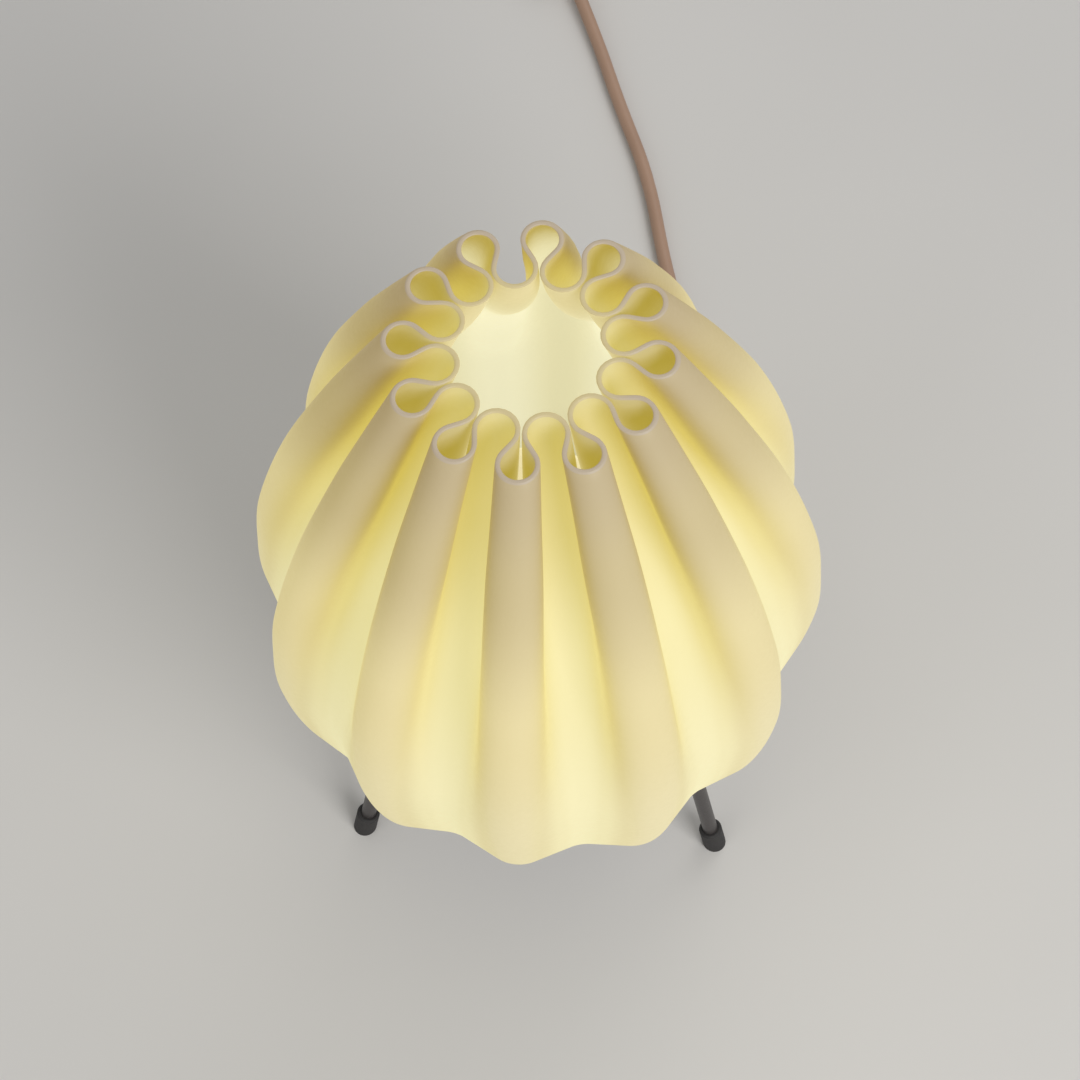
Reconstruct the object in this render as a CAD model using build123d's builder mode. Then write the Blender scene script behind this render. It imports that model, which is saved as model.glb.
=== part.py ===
"""Ruffled table lamp on three rod legs, with a corded rocker switch and a flat two-pin plug.

Millimetres. The origin is on the table under the middle of the lamp, +Z is up, and the
side that the photograph is taken from is -Y.
"""

from build123d import *
from math import acos, atan2, cos, hypot, pi, radians, sin, tan
import os

os.makedirs("parts", exist_ok=True)

# Driving dimensions of the shade
lobe_count = 12
half_pitch = pi / lobe_count
wall = 1.6
shade_bottom = 86.0
shade_floor = 2.0
shade_floor_hole_r = 50.4
lobe_facets = 4
valley_facets = 3
# One row for each height: height, tip radius, ruffle depth, lobe arc radius, valley arc radius
shade_levels = [
    (86, 76.0, 4.6, 11.5, 14.0),
    (103, 85.5, 5.8, 12.5, 16.0),
    (126, 94.5, 6.8, 13.3, 18.0),
    (164, 99.9, 8.3, 13.5, 17.5),
    (188, 99.0, 12.5, 12.4, 15.0),
    (213, 95.8, 17.5, 10.8, 11.8),
    (255, 83.5, 24.5, 9.2, 9.2),
    (292, 67.5, 28.6, 8.1, 8.9),
    (315, 55.8, 26.4, 6.9, 7.8),
    (335, 45.0, 22.1, 5.9, 6.4),
]

# Driving dimensions of the base
base_bottom = 70.0
base_wall = 2.8
base_bottom_r = 64.0
base_swell = 3.0
base_knee = 7.0
shoulder_r = 69.0
shoulder_edge = 1.0
collar_r = 49.5
collar_height = 7.0
cover_thickness = 2.5
cover_gap = 0.2
post_count = 3
post_circle_r = 53.0
post_r = 3.8
screw_r = 1.5
screw_head_r = 3.0
screw_length = 9.0
screw_slot = 0.8
screw_room = 0.5
thread_bite = 0.25
base_hole_play = 0.3
push_fit = 0.05

# Driving dimensions of the legs and their feet
leg_count = 3
back_leg_angle = 92.4
leg_r = 3.0
leg_foot_r = 82.5
leg_lean = 0.2
leg_socket_r = 6.5
leg_socket_low = 72.0
leg_socket_high = 83.6
leg_top = 81.0
foot_r = 4.6
foot_height = 13.0
foot_floor = 2.5
foot_edge = 0.8

# Driving dimensions of the lamp holder
nipple_r = 5.0
nipple_bore_r = 3.6
nipple_below = 8.5
nipple_above = 8.0
nut_across = 14.0
nut_height = 3.0
washer_r = 9.0
washer_height = 1.0
holder_r = 20.0
holder_foot_r = 12.0
holder_wall = 1.8
holder_height = 55.0
holder_joint = 22.0
holder_hub_r = 8.0
holder_lip_r = 15.0
holder_edge = 1.0
dome_facets = 3
spigot_length = 6.0
core_height = 8.0
core_bore_r = 5.5
sleeve_r = 13.4
sleeve_wall = 0.5
sleeve_height = 22.0
sleeve_foot_r = 9.0
contact_height = 2.2
contact_strip = 0.5
contact_width = 6.0
contact_reach = 7.5
wire_r = 1.1
wire_start_r = 55.0
wire_bend_r = 3.5
wire_aside = 1.32

# Driving dimensions of the bulb
bulb_gap = 0.3
bulb_length = 108.0
bulb_r = 30.0
bulb_cap_r = 13.0
bulb_cap_foot_r = 10.0
bulb_cap_length = 26.0
bulb_tip_r = 4.6
bulb_tip_height = 1.6
bulb_tip_edge = 0.5
bulb_insulator_height = 4.0
bulb_insulator_foot_r = 5.6
bulb_cap_taper = 2.0
bulb_neck_r = 14.6
globe_wall = 1.0
globe_rim_r = 22.0
globe_facets = 10
led_board_height = 1.6
housing_plate = 1.5
housing_lip = 1.5
housing_flare_wall = 3.5
housing_neck_wall = 2.8
housing_skirt = 4.0
housing_skirt_wall = 1.2
wire_hole_r = 2.5
led_circle_r = 11.0
led_count = 8
led_size = 3.0
led_height = 0.6
led_sunk = 0.4

# Driving dimensions of the cord, its switch and its plug
cord_r = 3.0
cord_exit_angle = 70.0
cord_exit_z = 78.0
cord_start_r = 58.0
cord_inset = 3.0
cord_entry_play = 0.4
boot_length = 25.0
boot_r = 5.2
boot_face_at = 69.0
boot_flange_at = 60.0
boot_flange_r = 5.0
boot_flange_width = 2.0
boot_face_width = 3.0
boot_tip_wall = 0.9
gland_neck_r = 4.2
cord_arc_share = 0.45
coil_turn_r = 35.0
outer_turn_r = coil_turn_r + 2 * cord_r
# One row for each height of the coil: height, half its width about the middle turn
coil_outline = [(0, 8.0), (3, 9.0), (15.6, 3.5), (16.6, 1.5)]
last_turn_z = 13.6
coil_distance = 50.0
lead_hump = (20.0, 0.4, 15.5)
lead_down = (46.0, 2.5)
lead_turn = 27.4
lead_end = 63.4
plug_aside = 71.0
plug_to_coil = 60.4
boot_bend_r = 114.0
lamp_cord_steps = [
    (46, 130, 41),
    (49, 150, cord_r),
    (45, 193, cord_r),
    (33, 228, cord_r),
    (22, 275, cord_r),
    (5, 314, cord_r),
    (-8, 349, cord_r),
]
switch_length = 62.0
switch_width = 25.0
switch_height = 16.0
switch_split = 6.5
switch_entry = (-25.0, 386.0)
switch_heading = 114.6
switch_wall = 1.8
switch_edge = 0.8
switch_corner_r = 9.0
switch_top_round = 3.0
switch_screw_x = 22.0
switch_screw_y = 8.0
switch_screw_r = 1.2
switch_screw_head_r = 2.3
switch_screw_sunk = 2.6
switch_screw_length = 7.5
switch_screw_recess = 0.4
switch_post_r = 3.4
terminal_x = 19.0
terminal_length = 9.0
terminal_width = 6.0
terminal_height = 4.6
terminal_screw_height = 1.2
rocker_tilt = 7.0
rocker_length = 20.0
rocker_width = 11.0
rocker_crown = 4.3
rocker_keel = 3.5
rocker_keel_inset = 2.5
rocker_gap = 0.5
rocker_end_gap = 1.2
cheek = 3.0
pivot_z = 12.2
pivot_r = 1.2
pivot_play = 0.05
pivot_length = 1.5
plug_length = 36.0
plug_width = 35.3
plug_thickness = 13.7
plug_back_width = 16.0
plug_front_width = 27.0
plug_wide_from = 14.4
plug_wide_to = 27.0
plug_chamfer = 2.5
plug_boot_length = 22.0
plug_cord_depth = 5.0
plug_spigot = 4.0
plug_spigot_r = 4.0
pin_r = 2.0
pin_core_r = 1.5
sleeve_pin_r = 1.7
pin_spacing = 18.6
pin_length = 19.0
pin_sleeve_length = 10.0
pin_root = 7.0
pin_sunk = 2.0
pin_edge = 0.8

shoulder_z = shade_bottom
deck_top = shoulder_z + collar_height
deck_low = deck_top - base_wall
holder_top = deck_top + holder_height
core_low = deck_top + holder_joint
hub_top = deck_top + nipple_above
dome_top = deck_top + holder_r - holder_foot_r
core_top = core_low + core_height
bulb_low = core_top + contact_height + bulb_gap
bulb_top = bulb_low + bulb_length
cap_top = bulb_low + bulb_cap_length
leg_angles = [back_leg_angle + leg * 360 / leg_count for leg in range(leg_count)]
post_angle = back_leg_angle + 180 / leg_count
globe_rim_angle = acos(globe_rim_r / bulb_r)


def save(part, name):
    """Name the part and write its STEP file."""
    part.label = name
    export_step(part, f"parts/{name}.step")


def arc_points(centre, radius, start, end, facets):
    """Points along an arc about a centre, both ends included; angles in radians."""
    steps = [start + (end - start) * step / facets for step in range(facets + 1)]
    return [(centre[0] + radius * cos(a), centre[1] + radius * sin(a)) for a in steps]


def ruffle_side(tip_r, depth, lobe_arc, valley_arc, offset):
    """Points of one wall face from valley to valley about the +X axis.

    The lobe arc and the two valley arcs are joined by the lines that touch both, and the
    face lies at the given offset outside the middle of the wall.
    """
    lobe_centre_r = tip_r - wall / 2 - lobe_arc
    valley_centre_r = tip_r - wall / 2 - depth + valley_arc
    valley_centre = (valley_centre_r * cos(half_pitch), valley_centre_r * sin(half_pitch))
    across = valley_centre[0] - lobe_centre_r
    aside = valley_centre[1]
    turn = atan2(aside, across) - acos((lobe_arc + valley_arc) / hypot(across, aside))
    lobe = arc_points((lobe_centre_r, 0), lobe_arc + offset, 0, turn, lobe_facets)
    valley = arc_points(
        valley_centre, valley_arc - offset, turn + pi, half_pitch + pi, valley_facets
    )
    upper = lobe + valley
    lower = [(x, -y) for x, y in reversed(upper[1:])]
    return lower + upper


# One ruffle of the shade: the wall from valley to valley at each height, lofted
with BuildPart() as ruffle:
    for height, *level in shade_levels:
        with BuildSketch(Plane.XY.offset(height)):
            with BuildLine():
                outer_side = ruffle_side(*level, wall / 2)
                inner_side = ruffle_side(*level, -wall / 2)
                Polyline(*outer_side, *reversed(inner_side), close=True)
            make_face()
    loft(ruled=True)

# The shade: the ruffles in a ring, on a floor with a round hole that fits over the collar
with BuildPart() as shade:
    with PolarLocations(0, lobe_count, start_angle=-90):
        add(ruffle.part)
    with BuildSketch(Plane.XY.offset(shade_bottom)):
        with BuildLine():
            rim_side = ruffle_side(*shade_levels[0][1:], 0)
            rim_points = []
            for lobe in range(lobe_count):
                for x, y in rim_side[:-1]:
                    point = Vector(x, y).rotate(Axis.Z, -90 + lobe * 360 / lobe_count)
                    rim_points.append(point)
            Polyline(*rim_points, close=True)
        make_face()
        Circle(shade_floor_hole_r, mode=Mode.SUBTRACT)
    extrude(amount=shade_floor)
save(shade.part, "shade")


def leg_plane(angle, height):
    """Plane square to a leg's axis, at a height on that axis, with x along the ring."""
    reach = leg_foot_r - leg_lean * height
    across, out = cos(radians(angle)), sin(radians(angle))
    return Plane(
        origin=(reach * across, reach * out, height),
        x_dir=(-out, across, 0),
        z_dir=(-leg_lean * across, -leg_lean * out, 1),
    )


def leg_reach(low, high):
    """Length along a leg's axis between two heights."""
    return (high - low) * hypot(1, leg_lean)


def radial_plane(angle, height):
    """Upright plane through the lamp's axis: x runs outward and y runs up."""
    across, out = cos(radians(angle)), sin(radians(angle))
    return Plane(origin=(0, 0, height), x_dir=(across, out, 0), z_dir=(out, -across, 0))


gland_plane = radial_plane(cord_exit_angle, cord_exit_z)
gland_axis = Axis(gland_plane.origin, gland_plane.x_dir)

# The base: a spun dish with a raised collar, three leg sockets and three screw posts
with BuildPart() as base_body:
    with BuildSketch(Plane.XZ):
        with BuildLine():
            Polyline(
                (base_bottom_r, base_bottom),
                (base_bottom_r + base_swell, base_bottom + base_knee),
                (shoulder_r, shoulder_z - shoulder_edge),
                (shoulder_r - shoulder_edge, shoulder_z),
                (collar_r, shoulder_z),
                (collar_r, deck_top),
                (nipple_r + base_hole_play, deck_top),
                (nipple_r + base_hole_play, deck_low),
                (collar_r - base_wall, deck_low),
                (collar_r - base_wall, shoulder_z - base_wall),
                (shoulder_r - base_wall, shoulder_z - base_wall),
                (base_bottom_r + base_swell - base_wall, base_bottom + base_knee),
                (base_bottom_r - base_wall, base_bottom),
                close=True,
            )
        make_face()
    revolve(axis=Axis.Z)
    for angle in leg_angles:
        with BuildSketch(leg_plane(angle, leg_socket_low)):
            Circle(leg_socket_r)
        extrude(amount=leg_reach(leg_socket_low, leg_socket_high))
    for angle in leg_angles:
        with BuildSketch(leg_plane(angle, leg_socket_low - leg_socket_r)):
            Circle(leg_r + push_fit)
        extrude(
            amount=leg_reach(leg_socket_low - leg_socket_r, leg_top), mode=Mode.SUBTRACT
        )
    with BuildSketch(Plane.XY.offset(base_bottom + cover_thickness)):
        with PolarLocations(post_circle_r, post_count, start_angle=post_angle):
            Circle(post_r)
    extrude(until=Until.NEXT)
    with BuildSketch(Plane.XY.offset(base_bottom + cover_thickness)):
        with PolarLocations(post_circle_r, post_count, start_angle=post_angle):
            Circle(screw_r - thread_bite)
    extrude(amount=screw_length - cover_thickness + screw_room, mode=Mode.SUBTRACT)
    with BuildSketch(Plane(gland_plane.origin, z_dir=gland_plane.x_dir)):
        Circle(gland_neck_r)
    extrude(amount=shoulder_r + leg_socket_r, mode=Mode.SUBTRACT)
save(base_body.part, "base_body")

# The cover under the base, with a sunk hole for each screw
with BuildPart() as base_cover:
    with BuildSketch(Plane.XY.offset(base_bottom)):
        Circle(base_bottom_r - base_wall - cover_gap)
    extrude(amount=cover_thickness)
    with Locations((0, 0, base_bottom)):
        with PolarLocations(post_circle_r, post_count, start_angle=post_angle):
            Cylinder(
                screw_r + cover_gap,
                cover_thickness,
                align=(Align.CENTER, Align.CENTER, Align.MIN),
                mode=Mode.SUBTRACT,
            )
            Cone(
                screw_head_r + cover_gap,
                screw_r + cover_gap,
                screw_head_r - screw_r,
                align=(Align.CENTER, Align.CENTER, Align.MIN),
                mode=Mode.SUBTRACT,
            )
save(base_cover.part, "base_cover")

# The three sunk screws that hold the cover, with a cross slot across each head
with BuildPart() as cover_screws:
    with Locations((0, 0, base_bottom)):
        with PolarLocations(post_circle_r, post_count, start_angle=post_angle):
            Cone(
                screw_head_r,
                screw_r,
                screw_head_r - screw_r,
                align=(Align.CENTER, Align.CENTER, Align.MIN),
            )
            Cylinder(
                screw_r, screw_length, align=(Align.CENTER, Align.CENTER, Align.MIN)
            )
            for slot_size in ((screw_head_r, screw_slot), (screw_slot, screw_head_r)):
                Box(
                    *slot_size,
                    screw_slot,
                    align=(Align.CENTER, Align.CENTER, Align.MIN),
                    mode=Mode.SUBTRACT,
                )
save(cover_screws.part, "cover_screws")

# The legs and their rubber feet
for leg_name, angle in zip(("back", "left", "right"), leg_angles):
    with BuildPart() as leg:
        with BuildSketch(leg_plane(angle, foot_floor)):
            Circle(leg_r)
        extrude(amount=leg_reach(foot_floor, leg_top))
    save(leg.part, f"leg_{leg_name}")

    with BuildPart() as foot:
        with BuildSketch(leg_plane(angle, -foot_floor)):
            Circle(foot_r)
        extrude(amount=leg_reach(-foot_floor, foot_height))
        chamfer(foot.edges().group_by(Axis.Z)[-1], length=foot_edge)
        with BuildSketch(leg_plane(angle, foot_floor)):
            Circle(leg_r + push_fit)
        extrude(amount=leg_reach(foot_floor, foot_height + foot_r), mode=Mode.SUBTRACT)
        split(bisect_by=Plane.XY, keep=Keep.TOP)
    save(foot.part, f"foot_{leg_name}")

# The threaded tube that holds the lamp holder down, its nut and its washer
nipple_low = deck_low - nipple_below
with BuildPart() as nipple:
    with BuildSketch(Plane.XY.offset(nipple_low)):
        Circle(nipple_r)
        Circle(nipple_bore_r, mode=Mode.SUBTRACT)
    extrude(amount=deck_top + nipple_above - nipple_low)
save(nipple.part, "nipple")

with BuildPart() as nipple_washer:
    with BuildSketch(Plane.XY.offset(deck_low - washer_height)):
        Circle(washer_r)
        Circle(nipple_r + base_hole_play, mode=Mode.SUBTRACT)
    extrude(amount=washer_height)
save(nipple_washer.part, "nipple_washer")

with BuildPart() as nipple_nut:
    with BuildSketch(Plane.XY.offset(deck_low - washer_height - nut_height)):
        RegularPolygon(nut_across / 2, 6, major_radius=False)
        Circle(nipple_r + push_fit, mode=Mode.SUBTRACT)
    extrude(amount=nut_height)
save(nipple_nut.part, "nipple_nut")

# The lamp holder: a domed cap, a shell screwed onto it and an insulating core
with BuildPart() as holder_cap:
    with BuildSketch(Plane.XZ):
        with BuildLine():
            dome_width = holder_r - holder_foot_r
            dome = arc_points((holder_foot_r, dome_top), dome_width, -pi / 2, 0, dome_facets)
            hollow = arc_points(
                (holder_foot_r, dome_top), dome_width - holder_wall, 0, -pi / 2, dome_facets
            )
            Polyline(
                (nipple_r + push_fit, deck_top),
                *dome,
                (holder_r, core_low),
                (holder_r - holder_wall, core_low),
                *hollow,
                (holder_hub_r, deck_top + holder_wall),
                (holder_hub_r, hub_top),
                (nipple_r + push_fit, hub_top),
                close=True,
            )
        make_face()
    revolve(axis=Axis.Z)
save(holder_cap.part, "holder_cap")

with BuildPart() as holder_shell:
    with BuildSketch(Plane.XZ):
        spigot_r = holder_r - holder_wall - push_fit
        with BuildLine():
            Polyline(
                (spigot_r - holder_wall, core_low - spigot_length),
                (spigot_r, core_low - spigot_length),
                (spigot_r, core_low),
                (holder_r, core_low),
                (holder_r, holder_top - holder_edge),
                (holder_r - holder_edge, holder_top),
                (holder_lip_r, holder_top),
                (holder_lip_r, holder_top - holder_wall),
                (holder_r - holder_wall, holder_top - holder_wall),
                (holder_r - holder_wall, core_top),
                (spigot_r - holder_wall, core_top),
                close=True,
            )
        make_face()
    revolve(axis=Axis.Z)
save(holder_shell.part, "holder_shell")

with BuildPart() as holder_core:
    with BuildSketch(Plane.XZ):
        with BuildLine():
            Polyline(
                (core_bore_r, hub_top),
                (holder_hub_r, hub_top),
                (holder_hub_r, core_low),
                (spigot_r - holder_wall - cover_gap, core_low),
                (spigot_r - holder_wall - cover_gap, core_top),
                (0, core_top),
                (0, core_low),
                (core_bore_r, core_low),
                close=True,
            )
        make_face()
    revolve(axis=Axis.Z)
save(holder_core.part, "holder_core")

with BuildPart() as screw_sleeve:
    with BuildSketch(Plane.XZ):
        with BuildLine():
            Polyline(
                (sleeve_foot_r, core_top),
                (sleeve_r + sleeve_wall, core_top),
                (sleeve_r + sleeve_wall, core_top + sleeve_height),
                (sleeve_r, core_top + sleeve_height),
                (sleeve_r, core_top + sleeve_wall),
                (sleeve_foot_r, core_top + sleeve_wall),
                close=True,
            )
        make_face()
    revolve(axis=Axis.Z)
save(screw_sleeve.part, "screw_sleeve")

# The spring tongue that the bulb's tip presses on
with BuildPart() as centre_contact:
    with BuildSketch(Plane.XZ.offset(-contact_width / 2)):
        with BuildLine():
            tongue = Polyline(
                (-contact_reach, core_top + contact_strip / 2),
                (-contact_reach / 3, core_top + contact_strip / 2),
                (contact_reach / 3, core_top + contact_height - contact_strip / 2),
                (contact_reach * 0.7, core_top + contact_height - contact_strip / 2),
            )
            offset(tongue, amount=contact_strip / 2)
        make_face()
    extrude(amount=contact_width)
save(centre_contact.part, "centre_contact")

# The two wires from the end of the cord up through the threaded tube to the core
with BuildPart() as holder_wires:
    for side in (-1, 1):
        with BuildLine() as wire_route:
            FilletPolyline(
                (wire_start_r * cos(radians(cord_exit_angle)) + side * wire_aside,
                 wire_start_r * sin(radians(cord_exit_angle)), cord_exit_z),
                (side * wire_aside, 0, cord_exit_z),
                (side * wire_aside, 0, core_low),
                radius=wire_bend_r,
            )
        with BuildSketch(Plane(origin=wire_route.line @ 0, z_dir=wire_route.line % 0)):
            Circle(wire_r)
        sweep(path=wire_route.wire())
save(holder_wires.part, "holder_wires")

# The bulb: contact tip, insulator, screw cap, flared housing, board and globe
with BuildPart() as bulb_contact:
    with Locations((0, 0, bulb_low)):
        Cylinder(
            bulb_tip_r, bulb_tip_height, align=(Align.CENTER, Align.CENTER, Align.MIN)
        )
    chamfer(bulb_contact.edges().group_by(Axis.Z)[0], length=bulb_tip_edge)
save(bulb_contact.part, "bulb_contact")

cap_low = bulb_low + bulb_tip_height + bulb_insulator_height
with BuildPart() as bulb_insulator:
    with Locations((0, 0, bulb_low + bulb_tip_height)):
        Cone(
            bulb_insulator_foot_r,
            bulb_cap_foot_r,
            bulb_insulator_height,
            align=(Align.CENTER, Align.CENTER, Align.MIN),
        )
save(bulb_insulator.part, "bulb_insulator")

with BuildPart() as bulb_cap:
    with BuildSketch(Plane.XZ):
        with BuildLine():
            Polyline(
                (0, cap_low),
                (bulb_cap_foot_r, cap_low),
                (bulb_cap_r, cap_low + bulb_cap_taper),
                (bulb_cap_r, cap_top),
                (bulb_cap_r - sleeve_wall, cap_top),
                (bulb_cap_r - sleeve_wall, cap_low + bulb_cap_taper + sleeve_wall / 2),
                (bulb_cap_foot_r - sleeve_wall / 2, cap_low + sleeve_wall),
                (0, cap_low + sleeve_wall),
                close=True,
            )
        make_face()
    revolve(axis=Axis.Z)
save(bulb_cap.part, "bulb_cap")

globe_centre_z = bulb_top - bulb_r
globe_rim_z = globe_centre_z - (bulb_r**2 - globe_rim_r**2) ** 0.5
board_low = globe_rim_z - led_board_height
with BuildPart() as bulb_housing:
    with BuildSketch(Plane.XZ):
        with BuildLine():
            Polyline(
                (bulb_cap_r - sleeve_wall - housing_skirt_wall, cap_top - housing_skirt),
                (bulb_cap_r - sleeve_wall, cap_top - housing_skirt),
                (bulb_cap_r - sleeve_wall, cap_top),
                (bulb_neck_r, cap_top),
                (bulb_neck_r, cap_top + housing_skirt),
                (globe_rim_r, globe_rim_z),
                (globe_rim_r - housing_lip, globe_rim_z),
                (globe_rim_r - housing_lip, board_low),
                (wire_hole_r, board_low),
                (wire_hole_r, board_low - housing_plate),
                (globe_rim_r - housing_flare_wall, board_low - housing_plate),
                (bulb_neck_r - housing_neck_wall, cap_top + housing_skirt),
                close=True,
            )
        make_face()
    revolve(axis=Axis.Z)
save(bulb_housing.part, "bulb_housing")

with BuildPart() as led_board:
    with BuildSketch(Plane.XY.offset(board_low)):
        Circle(globe_rim_r - housing_lip - push_fit)
    extrude(amount=led_board_height - led_sunk)
    with BuildSketch(Plane.XY.offset(globe_rim_z - led_sunk)):
        with PolarLocations(led_circle_r, led_count):
            Rectangle(led_size, led_size)
    extrude(amount=led_sunk + led_height)
save(led_board.part, "led_board")

with BuildPart() as bulb_globe:
    with BuildSketch(Plane.XZ):
        with BuildLine():
            centre = (0, globe_centre_z)
            outer_skin = arc_points(
                centre, bulb_r, pi / 2, -globe_rim_angle, globe_facets
            )
            inner_skin = arc_points(
                centre, bulb_r - globe_wall, -globe_rim_angle, pi / 2, globe_facets
            )
            Polyline(*outer_skin, *inner_skin, close=True)
        make_face()
    revolve(axis=Axis.Z)
save(bulb_globe.part, "bulb_globe")

# The rubber boot where the cord leaves the base, with a flange inside the wall
with BuildPart() as cord_boot:
    with BuildSketch(gland_plane):
        with BuildLine():
            Polyline(
                (boot_flange_at, cord_r),
                (boot_flange_at, boot_flange_r),
                (boot_flange_at + boot_flange_width, boot_flange_r),
                (boot_flange_at + boot_flange_width, gland_neck_r - push_fit),
                (boot_face_at, gland_neck_r - push_fit),
                (boot_face_at, boot_r),
                (boot_face_at + boot_face_width, boot_r),
                (boot_face_at + boot_length, cord_r + boot_tip_wall),
                (boot_face_at + boot_length, cord_r),
                close=True,
            )
        make_face()
    revolve(axis=gland_axis)
save(cord_boot.part, "cord_boot")


def cord_tube(points, name):
    """Cord along straight runs joined by arcs, each arc as wide as its runs allow."""
    corners = [Vector(point) for point in points]
    radii = []
    for before, corner, after in zip(corners, corners[1:], corners[2:]):
        turn = radians((corner - before).get_angle(after - corner))
        shorter = min((corner - before).length, (after - corner).length)
        radii.append(cord_arc_share * shorter / tan(turn / 2))
    with BuildPart() as cord:
        with BuildLine() as route:
            if radii:
                FilletPolyline(*corners, radius=radii)
            else:
                Line(*corners)
        with BuildSketch(Plane(origin=route.line @ 0, z_dir=route.line % 0)):
            Circle(cord_r)
        sweep(path=route.wire())
    swept = pi * cord_r**2 * route.wire().length
    print(name, "length", round(route.wire().length, 1), "radii", [round(r) for r in radii])
    print(name, "volume against section times length", round(cord.part.volume / swept, 4))
    save(cord.part, name)


def along(point, distance, height):
    """Point at a distance from another along the switch's length, at a height."""
    heading = radians(switch_heading)
    return (point[0] + distance * cos(heading), point[1] + distance * sin(heading), height)


# The cord: out of the boot, down to the table and back along it to the switch
exit_out = (cos(radians(cord_exit_angle)), sin(radians(cord_exit_angle)))
lamp_cord_route = [
    (cord_start_r * exit_out[0], cord_start_r * exit_out[1], cord_exit_z),
    (boot_bend_r * exit_out[0], boot_bend_r * exit_out[1], cord_exit_z),
    *lamp_cord_steps,
    along(switch_entry, cord_inset, switch_split),
]
cord_tube(lamp_cord_route, "lamp_cord")

# The cord from the switch to where it meets the outer turns of the coil
switch_far = along(switch_entry, switch_length, switch_split)
coil_touch = along(switch_far, coil_distance, cord_r)
cord_tube([along(switch_far, -cord_inset, switch_split), coil_touch], "coil_lead")

# The coil: three turns side by side, two on top of them and the last one over those
coil_side = radians(switch_heading - 90)
coil_centre = (
    coil_touch[0] + outer_turn_r * cos(coil_side),
    coil_touch[1] + outer_turn_r * sin(coil_side),
)
with BuildPart() as cord_coil:
    with BuildSketch(Plane((*coil_centre, 0), x_dir=(1, 0, 0), z_dir=(0, -1, 0))):
        with BuildLine():
            outward = [(coil_turn_r + half, z) for z, half in coil_outline]
            inward = [(coil_turn_r - half, z) for z, half in reversed(coil_outline)]
            Polyline(*outward, *inward, close=True)
        make_face()
    revolve(axis=Axis((*coil_centre, 0), (0, 0, 1)))
save(cord_coil.part, "cord_coil")

# The cord from the coil to the plug
coil_leave = (coil_centre[0], coil_centre[1] + coil_turn_r, last_turn_z)
plug_axis_x = coil_centre[0] + plug_aside
plug_lead_route = [
    coil_leave,
    (coil_leave[0] + lead_hump[0], coil_leave[1] - lead_hump[1], lead_hump[2]),
    (coil_leave[0] + lead_down[0], coil_leave[1] - lead_down[1], cord_r),
    (plug_axis_x, coil_leave[1] - lead_turn, cord_r),
    (plug_axis_x, coil_leave[1] - lead_end, plug_thickness / 2),
]
cord_tube(plug_lead_route, "plug_lead")

# The switch lies along the cord, split at the height of the cord's middle
switch_plane = Plane(
    origin=along(switch_entry, switch_length / 2, 0),
    x_dir=along((0, 0), 1, 0),
    z_dir=(0, 0, 1),
)
inside_length = switch_length - 2 * switch_wall
inside_width = switch_width - 2 * switch_wall
plate_low = switch_height - switch_wall
screw_places = [(switch_screw_x, switch_screw_y), (-switch_screw_x, -switch_screw_y)]

with BuildPart(switch_plane) as switch_lower:
    with BuildSketch(switch_plane):
        RectangleRounded(switch_length, switch_width, switch_corner_r)
    extrude(amount=switch_split)
    chamfer(switch_lower.edges().group_by(Axis.Z)[0], length=switch_edge)
    with BuildSketch(switch_plane.offset(switch_wall)):
        RectangleRounded(inside_length, inside_width, switch_corner_r - switch_wall)
    extrude(amount=switch_split, mode=Mode.SUBTRACT)
    with Locations((0, 0, switch_split)):
        Cylinder(
            cord_r + cord_entry_play,
            switch_length + switch_wall,
            rotation=(0, 90, 0),
            mode=Mode.SUBTRACT,
        )
    with BuildSketch(switch_plane):
        with Locations(*screw_places):
            Circle(switch_post_r)
    extrude(amount=switch_split)
    with BuildSketch(switch_plane):
        with Locations(*screw_places):
            Circle(switch_screw_r + cover_gap)
    extrude(amount=switch_split, mode=Mode.SUBTRACT)
    with BuildSketch(switch_plane):
        with Locations(*screw_places):
            Circle(switch_screw_head_r + cover_gap)
    extrude(amount=switch_screw_sunk, mode=Mode.SUBTRACT)
save(switch_lower.part, "switch_lower")

with BuildPart(switch_plane) as switch_upper:
    with BuildSketch(switch_plane.offset(switch_split)):
        RectangleRounded(switch_length, switch_width, switch_corner_r)
    extrude(amount=switch_height - switch_split)
    fillet(switch_upper.edges().group_by(Axis.Z)[-1], radius=switch_top_round)
    with BuildSketch(switch_plane.offset(switch_split)):
        RectangleRounded(inside_length, inside_width, switch_corner_r - switch_wall)
    extrude(amount=plate_low - switch_split, mode=Mode.SUBTRACT)
    with BuildSketch(switch_plane.offset(plate_low)):
        Rectangle(rocker_length + 2 * rocker_end_gap, rocker_width + 2 * rocker_gap)
    extrude(amount=switch_wall, mode=Mode.SUBTRACT)
    with Locations((0, 0, switch_split)):
        Cylinder(
            cord_r + cord_entry_play,
            switch_length + switch_wall,
            rotation=(0, 90, 0),
            mode=Mode.SUBTRACT,
        )
    with BuildSketch(switch_plane.offset(pivot_z - 2 * pivot_r)):
        for side in (-1, 1):
            with Locations((0, side * (rocker_width / 2 + rocker_gap + cheek / 2))):
                Rectangle(5 * pivot_r, cheek)
    extrude(amount=plate_low - pivot_z + 2 * pivot_r)
    with Locations((0, 0, pivot_z)):
        Cylinder(
            pivot_r + pivot_play,
            rocker_width + 2 * (rocker_gap + cheek),
            rotation=(90, 0, 0),
            mode=Mode.SUBTRACT,
        )
    with BuildSketch(switch_plane.offset(switch_split)):
        with Locations(*screw_places):
            Circle(switch_post_r)
    extrude(amount=plate_low - switch_split)
    with BuildSketch(switch_plane.offset(switch_split)):
        with Locations(*screw_places):
            Circle(switch_screw_r - thread_bite)
    extrude(amount=switch_screw_length, mode=Mode.SUBTRACT)
save(switch_upper.part, "switch_upper")

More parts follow.
